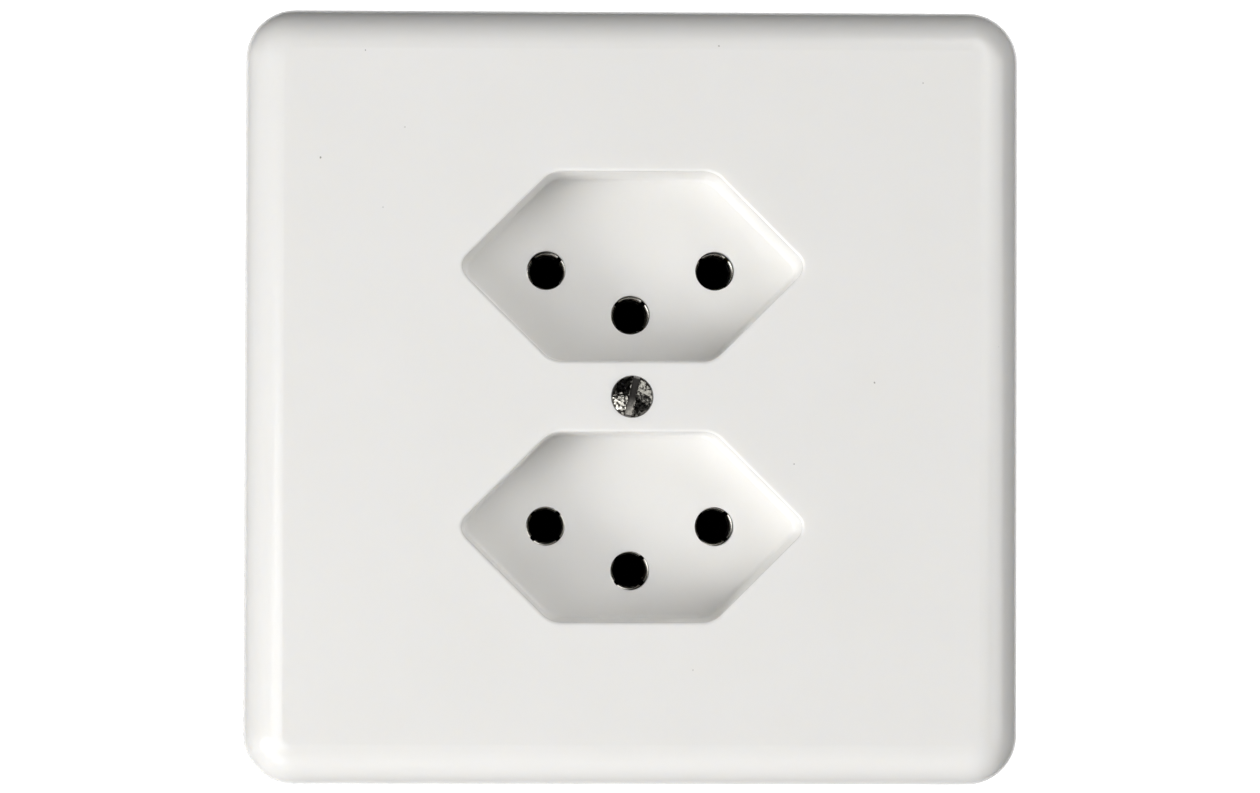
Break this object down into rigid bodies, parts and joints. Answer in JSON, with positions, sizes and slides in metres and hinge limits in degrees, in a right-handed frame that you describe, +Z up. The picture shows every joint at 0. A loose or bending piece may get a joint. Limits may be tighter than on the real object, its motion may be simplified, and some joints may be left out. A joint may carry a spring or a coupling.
{
  "type": "double wall socket",
  "caption": "White flush double wall socket: square rounded cover with hexagonal plug recesses one above the other, round pin holes and a central slotted screw.",
  "frame": {"origin": "centre of the plate on the wall surface", "axes": "+X to the right, +Z up, +Y into the wall; the front looks along -Y"},
  "size_m": [0.086, 0.0355, 0.086],
  "materials": {
    "cover_plastic": "white moulded plastic, satin gloss",
    "nickel_screw": "nickel-plated, scratched",
    "zinc_steel": "bright zinc-plated sheet and screws",
    "base_thermoset": "black moulded thermoset",
    "rear_cover_board": "brown laminated paper board",
    "brass": "plain brass",
    "tinned_brass": "turned brass, tin-plated",
    "spring_steel": "hardened and tempered spring steel strip"
  },
  "bodies": {
    "root": {"cover_plate": "cover_plastic", "cover_screw": "nickel_screw", "screw_bush": "brass", "support_frame": "zinc_steel", "upper_frame_screw": "zinc_steel", "lower_frame_screw": "zinc_steel", "socket_base": "base_thermoset", "rear_cover": "rear_cover_board", "left_pole_rail": "brass", "right_pole_rail": "brass", "earth_rail": "brass", "upper_left_sleeve": "tinned_brass", "upper_left_spring_ring": "spring_steel", "upper_right_sleeve": "tinned_brass", "upper_right_spring_ring": "spring_steel", "upper_earth_sleeve": "tinned_brass", "upper_earth_spring_ring": "spring_steel", "lower_left_sleeve": "tinned_brass", "lower_left_spring_ring": "spring_steel", "lower_right_sleeve": "tinned_brass", "lower_right_spring_ring": "spring_steel", "lower_earth_sleeve": "tinned_brass", "lower_earth_spring_ring": "spring_steel", "left_upper_terminal": "brass", "left_upper_terminal_screw": "zinc_steel", "left_lower_terminal": "brass", "left_lower_terminal_screw": "zinc_steel", "right_upper_terminal": "brass", "right_upper_terminal_screw": "zinc_steel", "right_lower_terminal": "brass", "right_lower_terminal_screw": "zinc_steel", "earth_left_terminal": "brass", "earth_left_terminal_screw": "zinc_steel", "earth_right_terminal": "brass", "earth_right_terminal_screw": "zinc_steel", "left_rear_cover_screw": "zinc_steel", "right_rear_cover_screw": "zinc_steel"}
  },
  "joints": []
}
